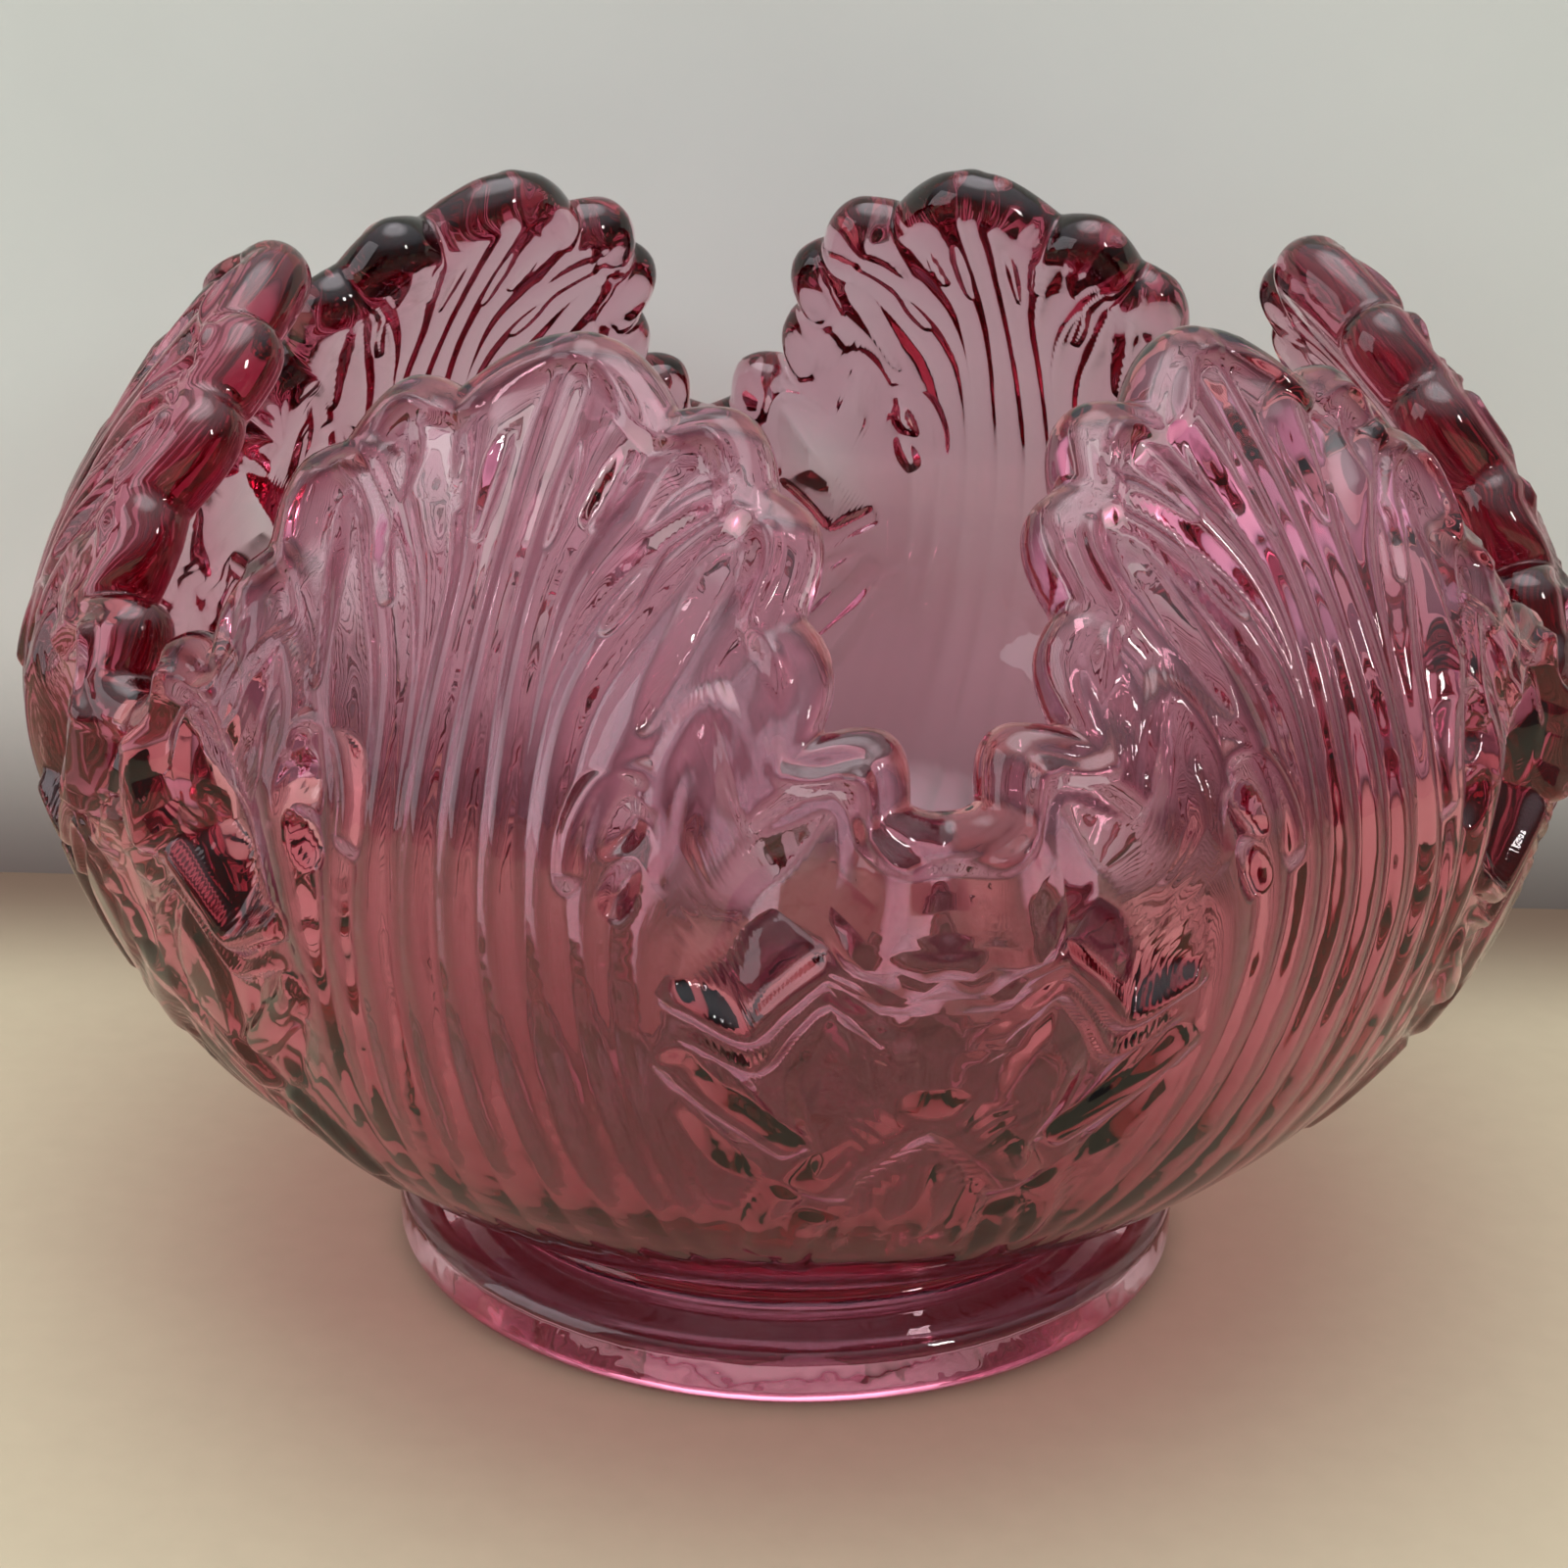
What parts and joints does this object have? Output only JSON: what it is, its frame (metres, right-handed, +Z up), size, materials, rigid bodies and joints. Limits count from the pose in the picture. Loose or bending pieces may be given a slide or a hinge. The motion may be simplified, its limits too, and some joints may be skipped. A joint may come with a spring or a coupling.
{
  "type": "candy dish",
  "caption": "Round pressed glass bowl with a rim of upright acanthus leaves and a low round foot, open at the top for sweets.",
  "frame": {"origin": "centre of the foot on the table plane", "axes": "+Z up along the bowl's axis; -Y towards a notch between two leaves, so leaf centre lines stand 30, 90 and 150 degrees either side of -Y"},
  "size_m": [0.1526, 0.152, 0.1052],
  "materials": {
    "pink_glass": "fire-polished pressed glass, dusty pink, 6 to 7 mm thick",
    "pink_glass_foot": "fire-polished pressed glass, deeper pink where it is thick"
  },
  "bodies": {
    "root": {"leaf_bowl": "pink_glass", "foot_ring": "pink_glass_foot"}
  },
  "joints": []
}
